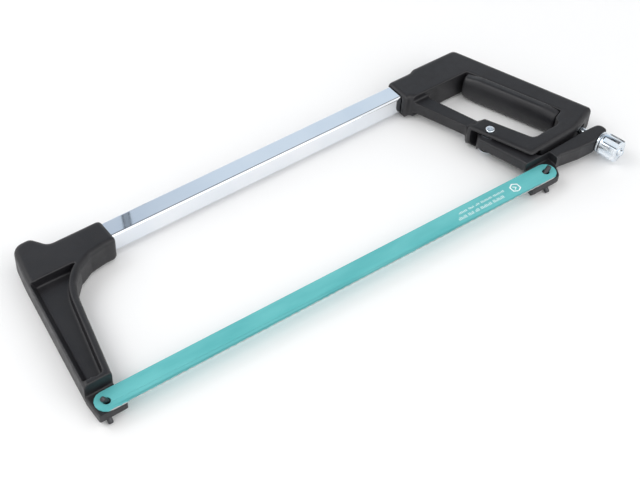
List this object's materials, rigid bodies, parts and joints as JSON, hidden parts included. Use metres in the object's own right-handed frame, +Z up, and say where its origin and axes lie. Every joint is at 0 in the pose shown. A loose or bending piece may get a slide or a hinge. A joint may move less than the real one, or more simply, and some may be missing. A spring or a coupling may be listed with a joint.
{
  "type": "hacksaw",
  "caption": "Hacksaw with a square tube frame, a closed D-handle, a pinned blade and a pivoting lever that a thumb nut pulls to tension the blade.",
  "frame": {"origin": "under the middle of the saw's overall box, on the surface that it lies on", "axes": "+X along the tube from the front casting to the handle, +Y across the saw from the blade to the tube, +Z up out of the side that the blade is put on from"},
  "size_m": [0.3646, 0.1358, 0.0192],
  "materials": {
    "casting_paint": "satin black paint over a fine cast surface",
    "grip_paint": "moulded black grip, finely grained",
    "tube_chrome": "bright chrome plate with faint drawn lines",
    "pin_steel": "hardened steel, dulled",
    "bright_zinc": "bright zinc plate, slightly blue",
    "bush_brass": "turned",
    "blade_paint": "thin teal enamel, worn at the teeth"
  },
  "bodies": {
    "frame": {"frame_tube": "tube_chrome", "front_casting": "casting_paint", "front_tube_pin": "pin_steel", "rear_tube_pin": "pin_steel", "front_blade_pin": "pin_steel", "front_angle_pin": "pin_steel", "handle_casting": "casting_paint", "grip_insert": "grip_paint", "anchor_pin": "pin_steel", "pivot_screw": "bright_zinc", "pivot_barrel_nut": "bright_zinc", "upper_pivot_washer": "bright_zinc", "lower_pivot_washer": "bright_zinc"},
    "lever": {"tension_lever": "casting_paint", "pivot_bush": "bush_brass", "rear_blade_pin": "pin_steel", "rear_angle_pin": "pin_steel"},
    "stud": {"tension_stud": "bright_zinc"},
    "washer": {"tension_washer": "bright_zinc"},
    "nut": {"tension_nut": "bright_zinc"},
    "blade": {"blade": "blade_paint"}
  },
  "joints": [
    {"name": "nut_spin", "type": "hinge", "parent": "washer", "child": "nut", "pos_m": [0.17242, -0.05331, 0.00994], "axis": [0.2079, -0.9781, 0], "range_deg": [0, 1620]},
    {"name": "lever_pivot", "type": "hinge", "parent": "frame", "child": "lever", "pos_m": [0.11605, -0.01138, 0.00994], "axis": [0, 0, 1], "range_deg": [-5.5, 0]},
    {"name": "stud_swing", "type": "hinge", "parent": "frame", "child": "stud", "pos_m": [0.16795, -0.03228, 0.00994], "axis": [0, 0, 1], "range_deg": [-12, 0]},
    {"name": "nut_travel", "type": "slide", "parent": "stud", "child": "washer", "axis": [0.2079, -0.9781, 0], "range_m": [0, 0.00562]},
    {"name": "blade_release", "type": "slide", "parent": "frame", "child": "blade", "axis": [-0.5408, -0.1191, 0.8327], "range_m": [0, 0.0036]}
  ],
  "couplings": [
    {"joint": "lever_pivot", "follows": "nut_travel", "rad_per_m": -17.065},
    {"joint": "stud_swing", "follows": "nut_travel", "rad_per_m": -37.234},
    {"joint": "blade_release", "follows": "nut_travel", "ratio": 0.64},
    {"joint": "nut_spin", "follows": "nut_travel", "rad_per_m": 5026.5}
  ]
}
